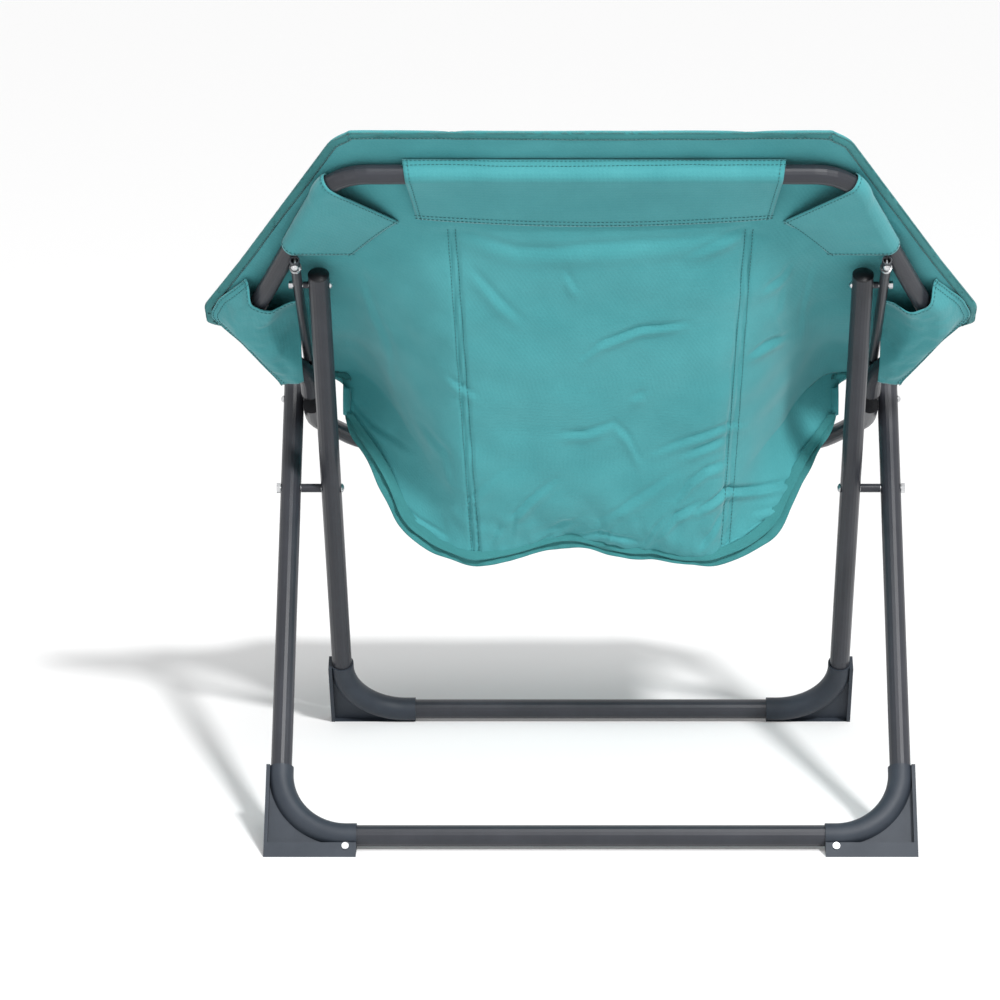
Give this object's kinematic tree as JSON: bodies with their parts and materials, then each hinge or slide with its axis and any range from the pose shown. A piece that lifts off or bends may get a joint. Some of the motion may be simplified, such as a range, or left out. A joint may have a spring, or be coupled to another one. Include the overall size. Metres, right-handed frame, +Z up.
{
  "type": "folding loveseat",
  "caption": "Folding loveseat: padded bucket sling on a hinged steel seat ring, carried by two crossed tube leg frames with moulded corner feet.",
  "frame": {"origin": "on the floor, midway between the sides and midway from front to back of the open seat", "axes": "+Z up, +Y towards the back of the seat, +X to the sitter's left as the sitter faces forwards along -Y"},
  "size_m": [1.024, 0.6024, 0.9602],
  "materials": {
    "frame_steel": "satin dark grey powder coat",
    "foot_plastic": "moulded dark slate plastic",
    "cap_plastic": "black plastic",
    "zinc_steel": "bright zinc plate",
    "seat_fabric": "teal woven polyester, padded",
    "trim_fabric": "teal woven polyester"
  },
  "bodies": {
    "front_legs": {"front_leg_frame": "frame_steel", "front_left_foot": "foot_plastic", "front_right_foot": "foot_plastic", "front_leg_caps": "cap_plastic", "leg_pivot_bolts": "zinc_steel", "leg_pivot_spacers": "frame_steel", "stay_bolts": "zinc_steel", "stay_spacers": "frame_steel", "front_foot_screws": "zinc_steel"},
    "rear_legs": {"rear_leg_frame": "frame_steel", "rear_left_foot": "foot_plastic", "rear_right_foot": "foot_plastic", "rear_leg_caps": "cap_plastic", "bracket_bolts": "zinc_steel", "rear_foot_screws": "zinc_steel"},
    "back_ring": {"back_ring_tube": "frame_steel", "back_ring_plugs": "cap_plastic", "left_stay": "frame_steel", "right_stay": "frame_steel", "stay_collars": "zinc_steel", "stay_screws": "zinc_steel", "hinge_pins": "zinc_steel", "back_pad": "seat_fabric", "top_sleeve": "trim_fabric", "left_corner_patch": "trim_fabric", "right_corner_patch": "trim_fabric", "left_side_pocket": "trim_fabric", "right_side_pocket": "trim_fabric"},
    "front_ring": {"front_ring_tube": "frame_steel", "front_ring_plugs": "cap_plastic", "left_hinge_bracket": "frame_steel", "right_hinge_bracket": "frame_steel", "front_pad": "seat_fabric", "front_sleeve": "trim_fabric"}
  },
  "joints": [
    {"name": "rear_leg_fold", "type": "hinge", "parent": "front_legs", "child": "rear_legs", "pos_m": [0, -0.06126, 0.404], "axis": [-1, 0, 0], "range_deg": [0, 52.4]},
    {"name": "back_ring_fold", "type": "hinge", "parent": "front_legs", "child": "back_ring", "pos_m": [0, 0.11781, 0.72549], "axis": [1, 0, 0], "range_deg": [0, 18.95]},
    {"name": "front_ring_fold", "type": "hinge", "parent": "back_ring", "child": "front_ring", "pos_m": [0, -0.10558, 0.54332], "axis": [-1, 0, 0], "range_deg": [0, 149.86]}
  ],
  "couplings": [
    {"joint": "back_ring_fold", "follows": "rear_leg_fold", "ratio": 0.36064},
    {"joint": "front_ring_fold", "follows": "rear_leg_fold", "ratio": 2.8589}
  ]
}
